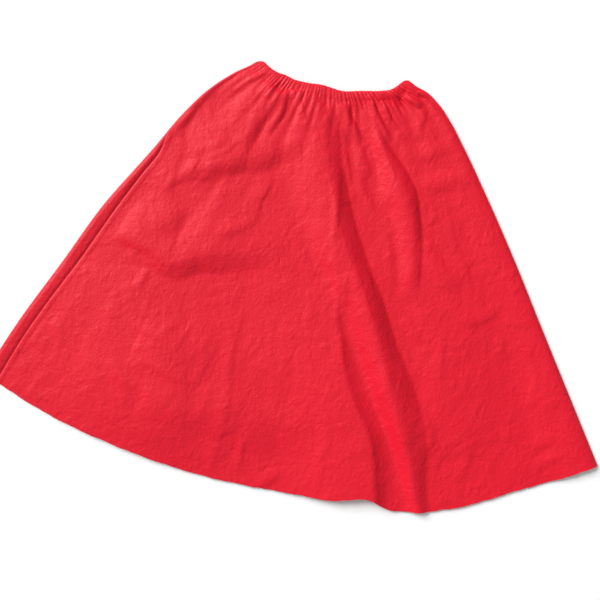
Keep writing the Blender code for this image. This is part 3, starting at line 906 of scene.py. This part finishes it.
def srgb(code):
    """A colour given as its sRGB hex code, as linear values."""
    values = np.array([int(code[i : i + 2], 16) for i in (1, 3, 5)]) / 255
    linear = np.where(values <= 0.04045, values / 12.92, ((values + 0.055) / 1.055) ** 2.4)
    return (*linear.tolist(), 1.0)


def add_node(tree, kind, settings=None, values=None, links=None):
    """Adds a node, with settings as its own options, values for its sockets, and links into its sockets."""
    node = tree.nodes.new(kind)
    for name, value in (settings or {}).items():
        setattr(node, name, value)
    for name, value in (values or {}).items():
        node.inputs[name].default_value = value
    for name, socket in (links or {}).items():
        tree.links.new(socket, node.inputs[name])
    return node


def new_material(name):
    material = bpy.data.materials.new(name)
    material.use_nodes = True
    tree = material.node_tree
    shader = tree.nodes["Principled BSDF"]
    place_node = tree.nodes.new("ShaderNodeTexCoord")
    return material, tree, shader, place_node.outputs["Object"]


def cotton_material(crinkle):
    """Thin red cotton, crinkled when it was washed: uneven slubby threads, mostly along the length."""
    material, tree, shader, where = new_material(COTTON)

    def noise_at(scale, stretch, detail, rough=0.5):
        stretched = add_node(tree, "ShaderNodeMapping", values={"Scale": stretch}, links={"Vector": where})
        values = {"Scale": scale, "Detail": detail, "Roughness": rough}
        links = {"Vector": stretched.outputs["Vector"]}
        found = add_node(tree, "ShaderNodeTexNoise", values=values, links=links)
        return found.outputs["Fac"]

    def maths(operation, first, second):
        node = add_node(tree, "ShaderNodeMath", {"operation": operation})
        for socket, value in zip(node.inputs, (first, second)):
            if isinstance(value, (int, float)):
                socket.default_value = value
            else:
                tree.links.new(value, socket)
        return node.outputs[0]

    # Slubs about 2.4 mm wide and 7 mm long, thick places in the weft about 2 mm wide across them, and soft
    # puckers about 8 mm wide. Real threads are finer than a picture can show, so these are drawn coarser.
    slubs = noise_at(420.0, (1.0, 0.35, 1.0), 3.0, 0.65)
    weft = noise_at(520.0, (0.4, 1.0, 1.0), 2.0, 0.6)
    puckers = noise_at(120.0, (1.0, 0.8, 1.0), 2.5, 0.6)
    # Little creases where the cloth was once crushed, that come and go
    creased = 0.0
    for scale, narrow, depth in ((16.0, 0.07, 0.44), (38.0, 0.09, 0.28)):
        found = maths("ABSOLUTE", maths("SUBTRACT", noise_at(scale, (1.0, 0.8, 1.0), 1.0), 0.5), 0.0)
        groove = add_node(
            tree, "ShaderNodeMapRange", {"interpolation_type": "SMOOTHSTEP"},
            {"From Min": 0.0, "From Max": narrow}, {"Value": found},
        )
        fading = add_node(
            tree, "ShaderNodeMapRange", values={"From Min": 0.5, "From Max": 0.62},
            links={"Value": noise_at(scale * 1.7, (1.0, 0.9, 1.3), 1.0)},
        )
        depth = maths("MULTIPLY", fading.outputs["Result"], depth)
        creased = maths("ADD", creased, maths("MULTIPLY", groove.outputs["Result"], depth))

    height = maths("MULTIPLY", slubs, 0.46)
    height = maths("ADD", height, maths("MULTIPLY", weft, 0.34))
    height = maths("ADD", height, maths("MULTIPLY", puckers, 0.84))
    height = maths("ADD", height, creased)
    bump = add_node(
        tree, "ShaderNodeBump", values={"Strength": 1.0, "Distance": 0.001 * crinkle},
        links={"Height": height},
    )
    tree.links.new(bump.outputs["Normal"], shader.inputs["Normal"])

    colours = {6: srgb("#DB0622"), 7: srgb("#E80B2D")}
    mix = add_node(tree, "ShaderNodeMix", {"data_type": "RGBA"}, colours, {"Factor": slubs})
    tree.links.new(mix.outputs[2], shader.inputs["Base Color"])
    shade = add_node(
        tree, "ShaderNodeMapRange", values={"To Min": 0.47, "To Max": 0.6}, links={"Value": puckers}
    )
    tree.links.new(shade.outputs["Result"], shader.inputs["Roughness"])
    shader.inputs["Specular IOR Level"].default_value = 0.34
    shader.inputs["Sheen Weight"].default_value = 0.03
    shader.inputs["Sheen Roughness"].default_value = 0.5
    shader.inputs["Sheen Tint"].default_value = srgb("#F2A0A8")
    return material


def thread_material():
    """Red polyester sewing thread, spun, with a faint twist along it."""
    material, tree, shader, where = new_material(THREAD)
    twist = add_node(
        tree, "ShaderNodeTexNoise", values={"Scale": 1500.0, "Detail": 1.0}, links={"Vector": where}
    )
    colours = {6: srgb("#CC0F26"), 7: srgb("#DC1730")}
    mix = add_node(tree, "ShaderNodeMix", {"data_type": "RGBA"}, colours, {"Factor": twist.outputs["Fac"]})
    tree.links.new(mix.outputs[2], shader.inputs["Base Color"])
    bump = add_node(
        tree, "ShaderNodeBump", values={"Strength": 0.5, "Distance": 0.0001},
        links={"Height": twist.outputs["Fac"]},
    )
    tree.links.new(bump.outputs["Normal"], shader.inputs["Normal"])
    shader.inputs["Roughness"].default_value = 0.6
    return material


def floor_material():
    """Matt white paper, rolled out, with a very faint tooth."""
    material, tree, shader, where = new_material("studio paper, matt white")
    tooth = add_node(
        tree, "ShaderNodeTexNoise", values={"Scale": 60.0, "Detail": 3.0}, links={"Vector": where}
    )
    colours = {6: srgb("#FBFBFB"), 7: srgb("#FDFDFD")}
    mix = add_node(tree, "ShaderNodeMix", {"data_type": "RGBA"}, colours, {"Factor": tooth.outputs["Fac"]})
    tree.links.new(mix.outputs[2], shader.inputs["Base Color"])
    shader.inputs["Roughness"].default_value = 0.95
    shader.inputs["Specular IOR Level"].default_value = 0.1
    return material


def shared_material(name, make, *values):
    """The material of this name, made the first time that it is asked for."""
    found = bpy.data.materials.get(name)
    return found or make(*values)


def sheet_from_points(name, points, facing_down):
    """A mesh with a grid of faces through rows of points."""
    rows, columns = points.shape[0] - 1, points.shape[1] - 1
    mesh = bmesh.new()
    bmesh.ops.create_grid(mesh, x_segments=columns, y_segments=rows, size=0.5)
    if facing_down:
        bmesh.ops.reverse_faces(mesh, faces=mesh.faces)
    data = bpy.data.meshes.new(name)
    mesh.to_mesh(data)
    mesh.free()
    flat = np.zeros(len(data.vertices) * 3, np.float32)
    data.vertices.foreach_get("co", flat)
    flat = flat.reshape(-1, 3)
    column = np.rint((flat[:, 0] + 0.5) * columns).astype(int)
    row = np.rint((0.5 - flat[:, 1]) * rows).astype(int)
    data.vertices.foreach_set("co", points[row, column].astype(np.float32).ravel())
    data.polygons.foreach_set("use_smooth", np.ones(len(data.polygons), bool))
    data.update()
    return data


def add_piece(name, data, material):
    data.materials.append(material)
    made = bpy.data.objects.new(name, data)
    bpy.context.scene.collection.objects.link(made)
    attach(made, "root")
    return made


def thicken(piece, wall):
    """Gives a cloth its thickness. Its cut edges stay crisp, so the faces beside them don't shade round."""
    mesh = bmesh.new()
    mesh.from_mesh(piece.data)
    for edge in mesh.edges:
        edge.smooth = not edge.is_boundary
    mesh.to_mesh(piece.data)
    mesh.free()
    solid = piece.modifiers.new("cloth thickness", "SOLIDIFY")
    solid.thickness = wall
    solid.offset = -1


class SKIRT_OT_add_panels(bpy.types.Operator):
    """Adds the front panel and the back panel of thin cotton"""

    bl_idname = "skirt.add_panels"
    bl_label = "Add panels"

    def execute(self, context):
        cloth = context.scene.skirt_cloth
        gather = context.scene.skirt_gathers
        material = shared_material(COTTON, cotton_material, cloth.crinkle)
        sizes = {"front": (cloth.across, cloth.along), "back": (cloth.back_across, cloth.back_along)}
        for panel, (columns, rows) in sizes.items():
            points = panel_points(panel, columns, rows, cloth, gather)
            if not np.isfinite(points).all():
                raise RuntimeError("the " + panel + " panel has points that can't be placed")
            data = sheet_from_points("skirt_" + panel, points, panel == "back")
            piece = add_piece("skirt_" + panel, data, material)
            thicken(piece, cloth.wall)
            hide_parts(panel + "_panel")
        return {"FINISHED"}


class SKIRT_OT_add_casing(bpy.types.Operator):
    """Adds the two halves of the gathered elastic casing"""

    bl_idname = "skirt.add_casing"
    bl_label = "Add waist casing"

    def execute(self, context):
        cloth = context.scene.skirt_cloth
        gather = context.scene.skirt_gathers
        material = shared_material(COTTON, cotton_material, cloth.crinkle)
        for half in ("front", "back"):
            points = casing_points(half, gather.around, gather)
            if not np.isfinite(points).all():
                raise RuntimeError("the " + half + " casing has points that can't be placed")
            data = sheet_from_points("waist_" + half, points, half == "front")
            piece = add_piece("waist_" + half, data, material)
            thicken(piece, cloth.wall)
            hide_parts("waist_casing_" + half)
        return {"FINISHED"}


class SKIRT_OT_add_sewing(bpy.types.Operator):
    """Adds the line of stitches that closes the casing, on its front and back halves"""

    bl_idname = "skirt.add_sewing"
    bl_label = "Add sewn line"

    def execute(self, context):
        gather = context.scene.skirt_gathers
        material = shared_material(THREAD, thread_material)
        for half in ("front", "back"):
            points = thread_points(half, gather)
            if not np.isfinite(points).all():
                raise RuntimeError("the " + half + " stitches have points that can't be placed")
            data = sheet_from_points("stitches_" + half, points, half == "front")
            mesh = bmesh.new()
            mesh.from_mesh(data)
            bmesh.ops.remove_doubles(mesh, verts=mesh.verts, dist=1e-6)
            mesh.to_mesh(data)
            mesh.free()
            add_piece("stitches_" + half, data, material)
        return {"FINISHED"}


class SKIRT_OT_add_stage(bpy.types.Operator):
    """Adds the floor, the soft light and the camera"""

    bl_idname = "skirt.add_stage"
    bl_label = "Add stage"

    def execute(self, context):
        stage = context.scene.skirt_stage
        mesh = bmesh.new()
        bmesh.ops.create_grid(mesh, x_segments=2, y_segments=2, size=4.0)
        data = bpy.data.meshes.new("floor")
        mesh.to_mesh(data)
        mesh.free()
        data.materials.append(floor_material())
        floor = bpy.data.objects.new("floor", data)
        floor.location.z = -0.0002
        context.scene.collection.objects.link(floor)

        lamps = (
            ("key light", stage.key, 35, (0.827, -0.562, -0.66)),
            ("overhead light", stage.top, 60, (0, 0, -1)),
        )
        for name, strength, spread, aim in lamps:
            lamp = bpy.data.objects.new(name, bpy.data.lights.new(name, "SUN"))
            lamp.data.energy = strength
            lamp.data.angle = np.radians(spread)
            lamp.rotation_euler = Vector(aim).to_track_quat("-Z", "Y").to_euler()
            context.scene.collection.objects.link(lamp)

        world = bpy.data.worlds.new("studio")
        world.use_nodes = True
        world.node_tree.nodes["Background"].inputs["Color"].default_value = (1, 1, 1, 1)
        world.node_tree.nodes["Background"].inputs["Strength"].default_value = stage.fill
        context.scene.world = world
        context.scene.view_settings.view_transform = "Standard"

        camera = bpy.data.objects.new("camera", bpy.data.cameras.new("camera"))
        camera.data.lens = 50
        camera.data.sensor_width = 36
        camera.location = (-0.0117, -0.0332, stage.view_height)
        camera.rotation_euler = (0, 0, np.radians(7.2))
        context.scene.collection.objects.link(camera)
        context.scene.camera = camera
        return {"FINISHED"}


class SKIRT_PT_build(bpy.types.Panel):
    """Sizes of the skirt, and a button for each step"""

    bl_label = "Circle Skirt"
    bl_idname = "SKIRT_PT_build"
    bl_space_type = "VIEW_3D"
    bl_region_type = "UI"
    bl_category = "Circle Skirt"

    def draw(self, context):
        layout = self.layout
        for group in (context.scene.skirt_cloth, context.scene.skirt_gathers, context.scene.skirt_stage):
            for name in group.bl_rna.properties.keys():
                if name not in ("rna_type", "name"):
                    layout.prop(group, name)
        for operator in CLASSES[3:-1]:
            layout.operator(operator.bl_idname)


CLASSES = (
    ClothSettings,
    GatherSettings,
    StageSettings,
    SKIRT_OT_add_panels,
    SKIRT_OT_add_casing,
    SKIRT_OT_add_sewing,
    SKIRT_OT_add_stage,
    SKIRT_PT_build,
)


def register():
    for made in CLASSES:
        bpy.utils.register_class(made)
    bpy.types.Scene.skirt_cloth = PointerProperty(type=ClothSettings)
    bpy.types.Scene.skirt_gathers = PointerProperty(type=GatherSettings)
    bpy.types.Scene.skirt_stage = PointerProperty(type=StageSettings)


def unregister():
    del bpy.types.Scene.skirt_stage
    del bpy.types.Scene.skirt_gathers
    del bpy.types.Scene.skirt_cloth
    for made in reversed(CLASSES):
        bpy.utils.unregister_class(made)


def main():
    register()
    bpy.ops.skirt.add_panels()
    bpy.ops.skirt.add_casing()
    bpy.ops.skirt.add_sewing()
    bpy.ops.skirt.add_stage()
    bpy.context.view_layer.update()


if __name__ == "__main__":
    main()
